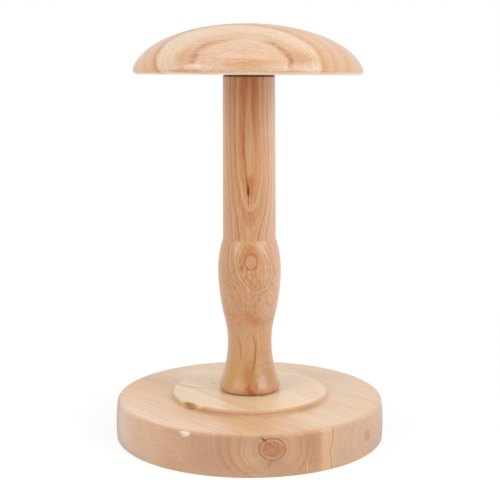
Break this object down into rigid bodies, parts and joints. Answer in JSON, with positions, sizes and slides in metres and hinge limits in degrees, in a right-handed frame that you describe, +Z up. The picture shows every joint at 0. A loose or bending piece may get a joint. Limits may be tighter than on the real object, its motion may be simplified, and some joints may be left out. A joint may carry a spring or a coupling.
{
  "type": "hat stand",
  "caption": "Turned wooden table stand for a hat: a low domed cap on a waisted column, on a round pine base with a raised boss.",
  "frame": {"origin": "centre of the base's underside, on the table", "axes": "+Z up the turned axis; +Y along the grain of the base boards, so their glue joint is a plane across X"},
  "size_m": [0.2014, 0.2014, 0.3056],
  "materials": {
    "base_pine": "satin clear finish over pine",
    "column_wood": "gloss clear finish over reddish wood",
    "cap_wood": "gloss clear finish over pale wood",
    "dowel_wood": "bare beech",
    "screw_steel": "dull bright steel"
  },
  "bodies": {
    "root": {"base_board_left": "base_pine", "base_board_right": "base_pine", "board_dowel_front": "dowel_wood", "board_dowel_back": "dowel_wood", "column": "column_wood", "cap": "cap_wood", "cap_dowel_screw": "screw_steel", "base_screw": "screw_steel", "base_washer": "screw_steel"}
  },
  "joints": []
}
